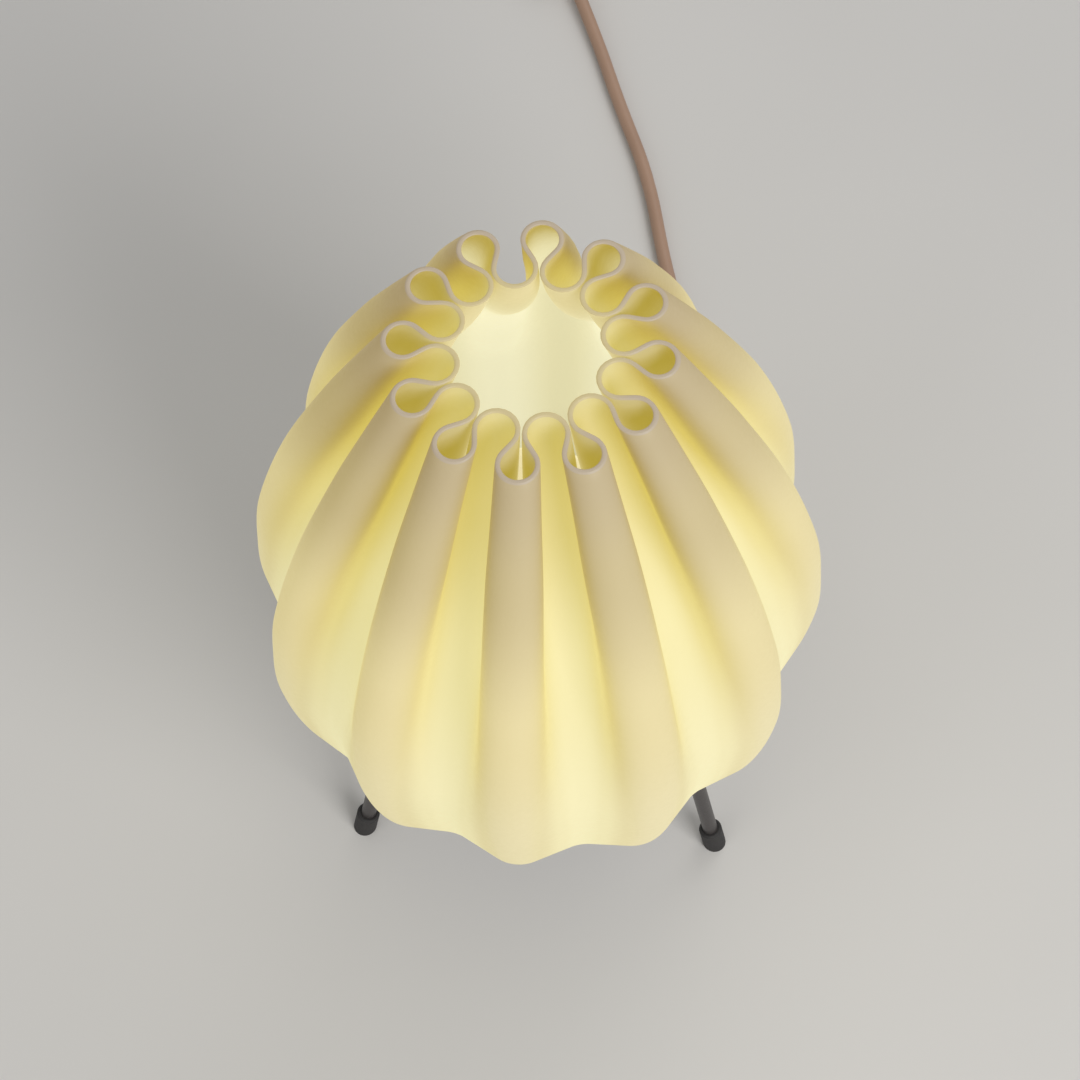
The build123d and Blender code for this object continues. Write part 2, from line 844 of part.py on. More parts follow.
with BuildPart(switch_plane) as switch_screws:
    with Locations(*[(x, y, switch_screw_sunk) for x, y in screw_places]):
        Cylinder(
            switch_screw_head_r,
            switch_screw_sunk - switch_screw_recess,
            align=(Align.CENTER, Align.CENTER, Align.MAX),
        )
        Cylinder(
            switch_screw_r,
            switch_screw_length,
            align=(Align.CENTER, Align.CENTER, Align.MIN),
        )
save(switch_screws.part, "switch_screws")

with BuildPart(switch_plane) as switch_terminals:
    for side in (-1, 1):
        with Locations((side * terminal_x, 0, switch_wall)):
            Box(
                terminal_length,
                terminal_width,
                terminal_height,
                align=(Align.CENTER, Align.CENTER, Align.MIN),
            )
        with Locations((side * terminal_x, 0, switch_wall + terminal_height)):
            Cylinder(
                terminal_width / 4,
                terminal_screw_height,
                align=(Align.CENTER, Align.CENTER, Align.MIN),
            )
save(switch_terminals.part, "switch_terminals")

# The rocker, tilted to one of its two stops, on stub pins in the upper half
tilt = radians(rocker_tilt)
rocker_plane = Plane(
    origin=along(switch_entry, switch_length / 2, pivot_z),
    x_dir=switch_plane.x_dir * cos(tilt) - switch_plane.z_dir * sin(tilt),
    z_dir=switch_plane.x_dir * sin(tilt) + switch_plane.z_dir * cos(tilt),
)
rocker_side = Plane(
    origin=rocker_plane.origin, x_dir=rocker_plane.x_dir, z_dir=-rocker_plane.y_dir
)
with BuildPart(rocker_plane) as switch_rocker:
    with BuildSketch(rocker_side):
        with BuildLine():
            rise = rocker_length / 2 * tan(radians(rocker_tilt))
            Polyline(
                (-rocker_length / 2, rocker_crown + rise),
                (0, rocker_crown),
                (rocker_length / 2, rocker_crown + rise),
                (rocker_length / 2, -pivot_r),
                (rocker_length / 2 - rocker_keel_inset, -rocker_keel),
                (-rocker_length / 2 + rocker_keel_inset, -rocker_keel),
                (-rocker_length / 2, -pivot_r),
                close=True,
            )
        make_face()
    extrude(amount=rocker_width / 2, both=True)
    Cylinder(
        pivot_r, rocker_width + 2 * rocker_gap + 2 * pivot_length, rotation=(90, 0, 0)
    )
save(switch_rocker.part, "switch_rocker")

# The plug lies flat beside the coil with its pins towards the lamp
plug_back = (plug_axis_x, coil_leave[1] - plug_to_coil - plug_boot_length)
plug_plane = Plane(
    origin=(*plug_back, plug_thickness / 2), x_dir=(0, -1, 0), z_dir=(0, 0, 1)
)
plug_axis = Axis(plug_plane.origin, plug_plane.x_dir)
pin_plane = Plane(
    (plug_back[0], plug_back[1] - plug_length, plug_thickness / 2),
    x_dir=(1, 0, 0),
    z_dir=(0, -1, 0),
)
pin_places = [(-pin_spacing / 2, 0), (pin_spacing / 2, 0)]

with BuildPart(plug_plane) as plug_body:
    with BuildSketch(plug_plane):
        with BuildLine():
            Polyline(
                (0, plug_back_width / 2),
                (plug_wide_from, plug_width / 2),
                (plug_wide_to, plug_width / 2),
                (plug_length, plug_front_width / 2),
                (plug_length, -plug_front_width / 2),
                (plug_wide_to, -plug_width / 2),
                (plug_wide_from, -plug_width / 2),
                (0, -plug_back_width / 2),
                close=True,
            )
        make_face()
    extrude(amount=plug_thickness / 2, both=True)
    plug_rims = plug_body.edges().group_by(Axis.Z)
    chamfer(plug_rims[0] + plug_rims[-1], length=plug_chamfer)
    with BuildSketch(Plane(plug_plane.origin, z_dir=plug_plane.x_dir)):
        Circle(plug_spigot_r)
    extrude(amount=plug_spigot, mode=Mode.SUBTRACT)
    with BuildSketch(pin_plane):
        with Locations(*pin_places):
            Circle(sleeve_pin_r)
    extrude(amount=-pin_sunk, mode=Mode.SUBTRACT)
    with BuildSketch(pin_plane):
        with Locations(*pin_places):
            Circle(pin_core_r)
    extrude(amount=-pin_root, mode=Mode.SUBTRACT)
save(plug_body.part, "plug_body")

with BuildPart(pin_plane) as plug_pins:
    with Locations(*[(x, y, -pin_root) for x, y in pin_places]):
        Cylinder(
            pin_core_r,
            pin_root + pin_sleeve_length,
            align=(Align.CENTER, Align.CENTER, Align.MIN),
        )
    with Locations(*[(x, y, pin_sleeve_length) for x, y in pin_places]):
        Cylinder(
            pin_r,
            pin_length - pin_sleeve_length,
            align=(Align.CENTER, Align.CENTER, Align.MIN),
        )
    chamfer(plug_pins.edges().group_by(Axis.Y)[0], length=pin_edge)
save(plug_pins.part, "plug_pins")

with BuildPart(pin_plane) as plug_pin_sleeves:
    with BuildSketch(pin_plane.offset(-pin_sunk)):
        with Locations(*pin_places):
            Circle(sleeve_pin_r)
            Circle(pin_core_r, mode=Mode.SUBTRACT)
    extrude(amount=pin_sleeve_length + pin_sunk)
save(plug_pin_sleeves.part, "plug_pin_sleeves")

with BuildPart() as plug_boot:
    with BuildSketch(plug_plane):
        with BuildLine():
            Polyline(
                (-plug_boot_length, cord_r + cord_entry_play),
                (-plug_boot_length, cord_r + boot_tip_wall),
                (0, boot_r),
                (0, plug_spigot_r),
                (plug_spigot, plug_spigot_r),
                (plug_spigot, 0),
                (-plug_boot_length + plug_cord_depth, 0),
                (-plug_boot_length + plug_cord_depth, cord_r + cord_entry_play),
                close=True,
            )
        make_face()
    revolve(axis=plug_axis)
save(plug_boot.part, "plug_boot")
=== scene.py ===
"""Dresses the ruffled table lamp: its glowing shade, its cord and the finish of every piece."""

from math import acos, atan2, cos, hypot, pi, radians, sin

import bpy
from mathutils import Matrix, Vector


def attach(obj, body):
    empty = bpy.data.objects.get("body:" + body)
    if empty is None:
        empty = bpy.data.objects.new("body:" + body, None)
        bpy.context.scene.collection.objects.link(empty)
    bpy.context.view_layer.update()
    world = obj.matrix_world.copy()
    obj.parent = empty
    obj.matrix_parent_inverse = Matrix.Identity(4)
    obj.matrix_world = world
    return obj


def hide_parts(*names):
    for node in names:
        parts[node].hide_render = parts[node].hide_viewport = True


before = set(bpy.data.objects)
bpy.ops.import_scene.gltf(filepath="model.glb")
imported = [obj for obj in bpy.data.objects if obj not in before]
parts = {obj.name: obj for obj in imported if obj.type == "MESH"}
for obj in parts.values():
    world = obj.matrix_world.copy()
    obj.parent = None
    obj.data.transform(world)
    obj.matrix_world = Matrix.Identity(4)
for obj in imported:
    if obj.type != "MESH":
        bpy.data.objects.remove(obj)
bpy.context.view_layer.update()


def metres(*millimetres):
    """Lengths in metres from lengths in millimetres."""
    return tuple(value / 1000 for value in millimetres)


def add_object(name, data):
    """New object with its data, in the scene."""
    made = bpy.data.objects.new(name, data)
    bpy.context.collection.objects.link(made)
    return made


# Camera at the photograph's own place, looking down on the lamp from the front

camera_place = (0.0482, -0.3720, 1.0170)
look_right = (0.9954, 0.0946, -0.0144)
look_up = (-0.0801, 0.9058, 0.4161)
look_back = (0.0525, -0.4131, 0.9092)
camera = add_object("camera", bpy.data.cameras.new("camera"))
camera.data.lens = 86.67
camera.data.sensor_width = 36.0
camera.data.clip_end = 20.0
camera_turn = Matrix((look_right, look_up, look_back)).transposed().to_4x4()
camera.matrix_world = Matrix.Translation(camera_place) @ camera_turn
bpy.context.scene.camera = camera


# Node helpers


def add_node(tree, kind, **settings):
    """Node of a kind, with settings by attribute name."""
    node = tree.nodes.new(kind)
    for name, value in settings.items():
        setattr(node, name, value)
    return node


def feed(tree, socket, value):
    """Set a socket to a value, or link it to another socket."""
    if isinstance(value, bpy.types.NodeSocket):
        tree.links.new(value, socket)
    else:
        socket.default_value = value


def new_material(name):
    """Material with one Principled shader, its node tree and that shader."""
    material = bpy.data.materials.new(name)
    material.use_nodes = True
    tree = material.node_tree
    tree.nodes.clear()
    shader = add_node(tree, "ShaderNodeBsdfPrincipled")
    out = add_node(tree, "ShaderNodeOutputMaterial")
    feed(tree, out.inputs["Surface"], shader.outputs["BSDF"])
    return material, tree, shader


def object_place(tree):
    """Place in the object's own frame, which is the shared frame of every piece."""
    return add_node(tree, "ShaderNodeTexCoord").outputs["Object"]


def object_height(tree):
    """Height above the table, in metres."""
    split = add_node(tree, "ShaderNodeSeparateXYZ")
    feed(tree, split.inputs[0], object_place(tree))
    return split.outputs["Z"]


def noise(tree, place, scale, detail=2.0):
    """Soft noise between 0 and 1."""
    node = add_node(tree, "ShaderNodeTexNoise", noise_dimensions="3D")
    feed(tree, node.inputs["Vector"], place)
    feed(tree, node.inputs["Scale"], scale)
    feed(tree, node.inputs["Detail"], detail)
    return node.outputs["Fac"]


def bump(tree, strength, distance, height):
    """Normal of a surface with a fine height on it."""
    node = add_node(tree, "ShaderNodeBump")
    feed(tree, node.inputs["Strength"], strength)
    feed(tree, node.inputs["Distance"], distance)
    feed(tree, node.inputs["Height"], height)
    return node.outputs["Normal"]


def brighten(tree, colour, factor):
    """Colour times a factor."""
    node = add_node(tree, "ShaderNodeVectorMath", operation="SCALE")
    feed(tree, node.inputs[0], colour)
    feed(tree, node.inputs["Scale"], factor)
    return node.outputs["Vector"]


def mix_colours(tree, amount, first, second):
    """Colour between two colours."""
    node = add_node(tree, "ShaderNodeMix", data_type="RGBA")
    feed(tree, node.inputs["Factor"], amount)
    feed(tree, node.inputs["A"], first)
    feed(tree, node.inputs["B"], second)
    return node.outputs["Result"]


def calculate(tree, operation, *values):
    """Result of a Math node."""
    node = add_node(tree, "ShaderNodeMath", operation=operation)
    for socket, value in zip(node.inputs, values):
        feed(tree, socket, value)
    return node.outputs["Value"]


def remap(tree, value, low, high, to_low=0.0, to_high=1.0):
    """Value moved from one range to another, smoothly and clamped."""
    node = add_node(tree, "ShaderNodeMapRange", interpolation_type="SMOOTHSTEP")
    feed(tree, node.inputs["Value"], value)
    ends = {"From Min": low, "From Max": high, "To Min": to_low, "To Max": to_high}
    for name, number in ends.items():
        feed(tree, node.inputs[name], number)
    return node.outputs["Result"]


def ramp(tree, value, stops):
    """Colour from a ramp with (place, colour) stops."""
    node = add_node(tree, "ShaderNodeValToRGB")
    feed(tree, node.inputs["Fac"], value)
    band = node.color_ramp
    band.interpolation = "EASE"
    while len(band.elements) < len(stops):
        band.elements.new(0.5)
    for element, (place, colour) in zip(band.elements, stops):
        element.position = place
        element.color = (*colour, 1.0)
    return node.outputs["Color"]


def surface_group(name, inputs, outputs, build):
    """Shader node group with named inputs and outputs, filled by a function."""
    group = bpy.data.node_groups.new(name, "ShaderNodeTree")
    for socket_name, kind, default in inputs:
        socket = group.interface.new_socket(socket_name, in_out="INPUT", socket_type=kind)
        socket.default_value = default
    for socket_name, kind in outputs:
        group.interface.new_socket(socket_name, in_out="OUTPUT", socket_type=kind)
    entry = group.nodes.new("NodeGroupInput")
    leave = group.nodes.new("NodeGroupOutput")
    build(group, entry.outputs, leave.inputs)
    return group


FLOAT, COLOUR, VECTOR = "NodeSocketFloat", "NodeSocketColor", "NodeSocketVector"


def build_moulded_grain(group, given, result):
    """Cloudy tone, fine grain height and roughness that change over a moulded surface."""
    place = object_place(group)
    cloud = noise(group, place, scale=given["Cloud Scale"], detail=3.0)
    grain = noise(group, place, scale=given["Grain Scale"])
    tone = calculate(group, "SUBTRACT", cloud, 0.5)
    tone = calculate(group, "MULTIPLY_ADD", tone, given["Tone Change"], 1.0)
    feed(group, result["Colour"], brighten(group, given["Colour"], tone))
    rough = calculate(group, "SUBTRACT", grain, 0.5)
    rough = calculate(group, "MULTIPLY_ADD", rough, 0.25, given["Roughness"])
    feed(group, result["Roughness"], rough)
    normal = bump(group, strength=given["Grain Depth"], distance=0.0003, height=grain)
    feed(group, result["Normal"], normal)


moulded_grain = surface_group(
    "moulded_grain",
    [
        ("Colour", COLOUR, (0.8, 0.8, 0.8, 1.0)),
        ("Roughness", FLOAT, 0.5),
        ("Cloud Scale", FLOAT, 30.0),
        ("Grain Scale", FLOAT, 900.0),
        ("Tone Change", FLOAT, 0.2),
        ("Grain Depth", FLOAT, 0.1),
    ],
    [("Colour", COLOUR), ("Roughness", FLOAT), ("Normal", VECTOR)],
    build_moulded_grain,
)


def build_turned_lines(group, given, result):
    """Fine rings left by turning, with rubbed patches, for small metal pieces."""
    place = object_place(group)
    rings = add_node(group, "ShaderNodeTexWave", wave_type="BANDS", bands_direction="Z")
    feed(group, rings.inputs["Vector"], place)
    feed(group, rings.inputs["Scale"], given["Ring Scale"])
    feed(group, rings.inputs["Distortion"], 0.6)
    rubbed = noise(group, place, scale=120.0)
    tone = calculate(group, "MULTIPLY_ADD", rubbed, 0.3, 0.85)
    feed(group, result["Colour"], brighten(group, given["Colour"], tone))
    rough = calculate(group, "MULTIPLY_ADD", rubbed, 0.2, given["Roughness"])
    feed(group, result["Roughness"], rough)
    normal = bump(group, strength=0.15, distance=0.0001, height=rings.outputs["Fac"])
    feed(group, result["Normal"], normal)


turned_lines = surface_group(
    "turned_lines",
    [
        ("Colour", COLOUR, (0.7, 0.7, 0.7, 1.0)),
        ("Roughness", FLOAT, 0.25),
        ("Ring Scale", FLOAT, 900.0),
    ],
    [("Colour", COLOUR), ("Roughness", FLOAT), ("Normal", VECTOR)],
    build_turned_lines,
)


def wear_surface(tree, shader, group, colour, roughness, **values):
    """Give a shader its colour, roughness and normal from a group with stated values."""
    surface = add_node(tree, "ShaderNodeGroup", node_tree=group)
    surface.inputs["Colour"].default_value = (*colour, 1.0)
    surface.inputs["Roughness"].default_value = roughness
    for socket, value in values.items():
        surface.inputs[socket.replace("_", " ").title()].default_value = value
    feed(tree, shader.inputs["Base Color"], surface.outputs["Colour"])
    feed(tree, shader.inputs["Roughness"], surface.outputs["Roughness"])
    feed(tree, shader.inputs["Normal"], surface.outputs["Normal"])


def finish_material(name, group, colour, roughness, metallic=0.0, coat=0.0, **values):
    """Material of one finish, with a clear coat where it has one."""
    material, tree, shader = new_material(name)
    wear_surface(tree, shader, group, colour, roughness, **values)
    shader.inputs["Metallic"].default_value = metallic
    shader.inputs["Coat Weight"].default_value = coat
    shader.inputs["Coat Roughness"].default_value = 0.25
    return material


all_finishes = [
    finish_material(
        "dark_base_paint", moulded_grain, (0.045, 0.04, 0.038), 0.42,
        coat=0.15, grain_scale=1500.0, grain_depth=0.25,
    ),
    finish_material(
        "grey_leg_paint", moulded_grain, (0.042, 0.036, 0.035), 0.42,
        coat=0.2, grain_scale=1800.0, grain_depth=0.2, tone_change=0.5,
    ),
    finish_material(
        "black_foot_rubber", moulded_grain, (0.03, 0.028, 0.027), 0.75,
        grain_scale=1400.0, grain_depth=0.5,
    ),
    finish_material(
        "bright_steel", turned_lines, (0.56, 0.56, 0.58), 0.25, metallic=1.0
    ),
    finish_material(
        "turned_brass", turned_lines, (0.62, 0.45, 0.19), 0.22, metallic=1.0
    ),
    finish_material(
        "bulb_aluminium", turned_lines, (0.7, 0.7, 0.71), 0.2, metallic=1.0, ring_scale=420.0
    ),
    finish_material(
        "nickel_pins", turned_lines, (0.66, 0.64, 0.6), 0.3, metallic=1.0
    ),
    finish_material(
        "ivory_holder", moulded_grain, (0.78, 0.74, 0.66), 0.4, coat=0.1, grain_depth=0.1
    ),
    finish_material(
        "glazed_core", moulded_grain, (0.8, 0.78, 0.73), 0.2, coat=0.6, grain_depth=0.05
    ),
    finish_material(
        "brown_wires", moulded_grain, (0.2, 0.1, 0.05), 0.45, grain_depth=0.1
    ),
    finish_material(
        "black_glass", moulded_grain, (0.02, 0.02, 0.022), 0.1, coat=0.5, grain_depth=0.02
    ),
    finish_material(
        "white_bulb_plastic", moulded_grain, (0.82, 0.82, 0.79), 0.35, grain_depth=0.08
    ),
    finish_material(
        "board_lacquer", moulded_grain, (0.8, 0.8, 0.77), 0.3, grain_depth=0.15
    ),
    finish_material(
        "tan_cord_sheath", moulded_grain, (0.4, 0.25, 0.17), 0.48,
        grain_scale=700.0, grain_depth=0.3, tone_change=0.3,
    ),
    finish_material(
        "tan_moulded_plastic", moulded_grain, (0.38, 0.24, 0.16), 0.42,
        grain_scale=1100.0, grain_depth=0.35,
    ),
    finish_material(
        "tan_boot_rubber", moulded_grain, (0.34, 0.21, 0.145), 0.6,
        grain_scale=1000.0, grain_depth=0.4,
    ),
    finish_material(
        "brown_rocker", moulded_grain, (0.07, 0.042, 0.03), 0.42, coat=0.1, grain_depth=0.08
    ),
    finish_material(
        "black_pin_sleeve", moulded_grain, (0.03, 0.03, 0.03), 0.5, grain_depth=0.1
    ),
]
finishes = {finish.name: finish for finish in all_finishes}


def dress(wearer, material):
    """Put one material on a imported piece."""
    for material_slot in parts[wearer].material_slots:
        material_slot.material = material


worn_by = {
    "dark_base_paint": ["base_body", "base_cover"],
    "grey_leg_paint": ["leg_back", "leg_left", "leg_right"],
    "black_foot_rubber": ["foot_back", "foot_left", "foot_right"],
    "bright_steel": [
        "cover_screws", "nipple", "nipple_washer", "nipple_nut", "bulb_contact", "switch_screws"
    ],
    "turned_brass": ["screw_sleeve", "centre_contact", "switch_terminals"],
    "bulb_aluminium": ["bulb_cap"],
    "nickel_pins": ["plug_pins"],
    "ivory_holder": ["holder_cap", "holder_shell"],
    "glazed_core": ["holder_core"],
    "brown_wires": ["holder_wires"],
    "black_glass": ["bulb_insulator"],
    "white_bulb_plastic": ["bulb_housing"],
    "board_lacquer": ["led_board"],
    "tan_moulded_plastic": ["switch_lower", "switch_upper", "plug_body"],
    "tan_boot_rubber": ["cord_boot", "plug_boot"],
    "brown_rocker": ["switch_rocker"],
    "black_pin_sleeve": ["plug_pin_sleeves"],
}
for finish_name, wearers in worn_by.items():
    for wearer in wearers:
        dress(wearer, finishes[finish_name])


# The cord: two lengths, one each side of the switch, with sizes in millimetres

cord_r = 3.0
cord_inset = 3.0
boot_angle = radians(70.0)
boot_out = (cos(boot_angle), sin(boot_angle))
boot_height = 78.0
switch_entry = (-25.0, 386.0)
switch_turn = radians(114.6)
switch_length = 62.0
switch_split = 6.5
coil_turn_r = 35.0
outer_turn_r = coil_turn_r + 2 * cord_r
coil_distance = 50.0
coil_layer_rise = 5.4
coil_crossing = 0.38
whole_turns = 5
points_per_turn = 16
last_turn_z = 13.6
plug_aside = 71.0
plug_height = 6.85


def lay_cord(name, points):
    """Round cord along a smooth line through the pull of its points."""
    line = bpy.data.curves.new(name, "CURVE")
    line.dimensions = "3D"
    line.bevel_depth = cord_r / 1000
    line.bevel_resolution = 4
    line.resolution_u = 6
    line.use_fill_caps = True
    spline = line.splines.new("NURBS")
    spline.points.add(len(points) - 1)
    for point, place in zip(spline.points, points):
        point.co = (*place, 1.0)
    spline.order_u = 3
    spline.use_endpoint_u = True
    line.materials.append(finishes["tan_cord_sheath"])
    return add_object(name, line)


def along_boot(out, height=boot_height):
    """Point over the line of the boot, at a distance from the lamp's middle."""
    return (out * boot_out[0], out * boot_out[1], height)


def along_switch(distance, height):
    """Point at a distance along the switch from the end that the lamp's cord enters."""
    return (
        switch_entry[0] + distance * cos(switch_turn),
        switch_entry[1] + distance * sin(switch_turn),
        height,
    )


# Straight through the boot, whose end is 94 mm out, and down in a bend beyond it
lamp_cord_route = [
    along_boot(58),
    along_boot(88),
    along_boot(101),
    along_boot(113, 73.5),
    along_boot(123, 62.5),
    (46, 130, 41),
    (49, 150, cord_r),
    (45, 193, cord_r),
    (33, 228, cord_r),
    (22, 275, cord_r),
    (5, 314, cord_r),
    (-8, 349, cord_r),
    along_switch(cord_inset, switch_split),
]
lamp_cord = lay_cord("lamp_cord_sheath", [metres(*point) for point in lamp_cord_route])

coil_touch = along_switch(switch_length + coil_distance, cord_r)
coil_centre = (
    coil_touch[0] + outer_turn_r * cos(switch_turn - pi / 2),
    coil_touch[1] + outer_turn_r * sin(switch_turn - pi / 2),
)


def ease(value, low, high):
    """Smooth step from 0 to 1 between two values."""
    share = min(max((value - low) / (high - low), 0.0), 1.0)
    return share * share * (3 - 2 * share)


def coil_place(turns):
    """Radius and height of the cord's middle after a number of turns of the coil.

    Three turns side by side from the outside in, two on top of them from the inside
    out, and the start of a third layer. Each step comes late in its turn.
    """
    first, second, third, fourth, fifth = (
        ease(turns, turn - coil_crossing, turn) for turn in range(1, whole_turns + 1)
    )
    radius = outer_turn_r + cord_r * (third - fifth) + 2 * cord_r * (fourth - first - second)
    return radius, cord_r + coil_layer_rise * (third + fifth)


first_angle = switch_turn + pi / 2
turns_made = whole_turns + (first_angle - pi / 2) / (2 * pi)
coil_steps = round(points_per_turn * turns_made)
# The points stand a little outside the turns, because the cord passes inside them
pull_out = 2 / (1 + cos(pi / points_per_turn))
coil_route = []
for step in range(1, coil_steps):
    turns = turns_made * step / coil_steps
    radius, height = coil_place(turns)
    angle = first_angle - 2 * pi * turns
    coil_route.append(
        (
            coil_centre[0] + radius * pull_out * cos(angle),
            coil_centre[1] + radius * pull_out * sin(angle),
            height,
        )
    )
leave = (coil_centre[0], coil_centre[1] + coil_turn_r)
plug_x = leave[0] + plug_aside
plug_route = [
    (*leave, last_turn_z),
    (leave[0] + 20, leave[1] - 0.4, 15.5),
    (leave[0] + 46, leave[1] - 2.5, cord_r),
    (plug_x, leave[1] - 27.4, cord_r),
    (plug_x, leave[1] - 63.4, plug_height),
]
switch_lead = [
    along_switch(switch_length - cord_inset, switch_split),
    along_switch(switch_length + 24, 4.2),
    coil_touch,
]
plug_cord = lay_cord(
    "plug_cord_sheath",
    [metres(*point) for point in switch_lead + coil_route + plug_route],
)

for cord, solids in (
    (lamp_cord, ("lamp_cord",)),
    (plug_cord, ("coil_lead", "cord_coil", "plug_lead")),
):
    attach(cord, "base")
    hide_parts(*solids)


# The shade: one ruffle made from its outline at each height, set twelve times in a ring

lobe_count = 12
half_pitch = pi / lobe_count
wall = 1.6
floor_thickness = 2.0
floor_hole_r = 50.4
floor_fold = 0.5
rim_round = 0.55
rim_steps = 4
outer_rises, inner_rises = 66, 60
lobe_steps, side_steps, valley_steps = 10, 3, 7
weld_distance = 0.00002
# Height, tip radius, ruffle depth, lobe arc radius, valley arc radius
shade_levels = [
    (86, 76.0, 4.6, 11.5, 14.0),
    (103, 85.5, 5.8, 12.5, 16.0),
    (126, 94.5, 6.8, 13.3, 18.0),
    (164, 99.9, 8.3, 13.5, 17.5),
    (188, 99.0, 12.5, 12.4, 15.0),
    (213, 95.8, 17.5, 10.8, 11.8),
    (255, 83.5, 24.5, 9.2, 9.2),
    (292, 67.5, 28.6, 8.1, 8.9),
    (315, 55.8, 26.4, 6.9, 7.8),
    (335, 45.0, 22.1, 5.9, 6.4),
]


def level_at(height):
    """Outline sizes at a height, smooth between the stated levels."""
    heights = [row[0] for row in shade_levels]
    height = min(max(height, heights[0]), heights[-1])
    place = max(i for i in range(len(heights) - 1) if heights[i] <= height)
    low, high = shade_levels[place], shade_levels[place + 1]
    span = high[0] - low[0]
    share = (height - low[0]) / span

    def slope(i, column):
        left, right = max(i - 1, 0), min(i + 1, len(shade_levels) - 1)
        rise = shade_levels[right][column] - shade_levels[left][column]
        return rise / (heights[right] - heights[left])

    sizes = []
    for column in range(1, 5):
        start, end = low[column], high[column]
        leave_slope, reach_slope = slope(place, column) * span, slope(place + 1, column) * span
        square, cube = share**2, share**3
        sizes.append(
            (2 * cube - 3 * square + 1) * start
            + (cube - 2 * square + share) * leave_slope
            + (3 * square - 2 * cube) * end
            + (cube - square) * reach_slope
        )
    return sizes


def ruffle_outline(height, offset):
    """Points of one wall face from valley to valley about +X, and how deep each lies.

    A lobe arc and two valley arcs, joined by the straight sides that touch both.
    Depth is 0 at the crest of the lobe and 1 at the bottom of the valley.
    """
    tip_r, depth, lobe_arc, valley_arc = level_at(height)
    lobe_centre = tip_r - wall / 2 - lobe_arc
    valley_centre_r = tip_r - wall / 2 - depth + valley_arc
    valley_centre = (valley_centre_r * cos(half_pitch), valley_centre_r * sin(half_pitch))
    across, aside = valley_centre[0] - lobe_centre, valley_centre[1]
    turn = atan2(aside, across) - acos(min((lobe_arc + valley_arc) / hypot(across, aside), 1.0))
    reach = lobe_arc + offset
    lobe = []
    for step in range(lobe_steps + 1):
        angle = turn * step / lobe_steps
        lobe.append((lobe_centre + reach * cos(angle), reach * sin(angle)))
    reach = valley_arc - offset
    valley = []
    for step in range(valley_steps + 1):
        angle = turn + (half_pitch - turn) * step / valley_steps
        valley.append(
            (valley_centre[0] - reach * cos(angle), valley_centre[1] - reach * sin(angle))
        )
    side = []
    for step in range(1, side_steps):
        share = step / side_steps
        side.append(tuple(a + (b - a) * share for a, b in zip(lobe[-1], valley[0])))
    points = lobe + side + valley
    face_r = tip_r - wall / 2 + offset
    depths = [min(max((face_r - hypot(*point)) / depth, 0.0), 1.0) for point in points]
    mirrored = [(x, -y) for x, y in points[1:]]
    return mirrored[::-1] + points, depths[1:][::-1] + depths


def build_ruffle():
    """Mesh of one ruffle, from valley to valley, with its share of the floor."""
    bottom, top = shade_levels[0][0], shade_levels[-1][0]
    inner_low = bottom + floor_thickness
    edge_low = top - rim_round
    # One row of points each: height, height of its outline, offset, how far inside it lies
    point_rows = []
    for step in range(outer_rises + 1):
        height = bottom + (edge_low - bottom) * step / outer_rises
        point_rows.append((height, height, wall / 2, 0.0))
    rim_turns = [pi / 2 * step / rim_steps for step in range(1, rim_steps + 1)]
    # The two halves of the rim, up from outside and down to inside
    rim_halves = ((1, 0.35, rim_turns), (-1, 0.65, rim_turns[::-1]))
    for side, inside, angles in rim_halves:
        for angle in angles:
            offset = side * (wall / 2 - rim_round * (1 - cos(angle)))
            point_rows.append((edge_low + rim_round * sin(angle), top, offset, inside))
    for step in range(inner_rises + 1):
        height = edge_low - (edge_low - inner_low) * step / inner_rises
        point_rows.append((height, height, -wall / 2, 1.0))
    vertices, depth_of, inside_of = [], [], []
    for z, outline_height, offset, inside in point_rows:
        outline, depths = ruffle_outline(outline_height, offset)
        width = len(outline)
        for (x, y), depth in zip(outline, depths):
            vertices.append(metres(x, y, z))
            depth_of.append(depth)
            inside_of.append(inside)
    # The floor's share: the rim of its hole above and below
    for z, row in ((inner_low, len(point_rows) - 1), (bottom, 0)):
        for column in range(width):
            x, y, _ = vertices[row * width + column]
            angle = atan2(y, x)
            vertices.append(metres(floor_hole_r * cos(angle), floor_hole_r * sin(angle), z))
            depth_of.append(floor_fold)
            inside_of.append(1.0 if z > bottom else 0.0)
    row_count = len(point_rows) + 2
    faces = []
    for row in range(row_count):
        here, after = row * width, (row + 1) % row_count * width
        for column in range(width - 1):
            left, right = column, column + 1
            faces.append((here + left, here + right, after + right, after + left))
    mesh = bpy.data.meshes.new("one_ruffle")
    mesh.from_pydata(vertices, [], faces)
    for name, values in (("fold", depth_of), ("inside", inside_of)):
        attribute = mesh.attributes.new(name, "FLOAT", "POINT")
        attribute.data.foreach_set("value", values)
    mesh.update()
    return mesh


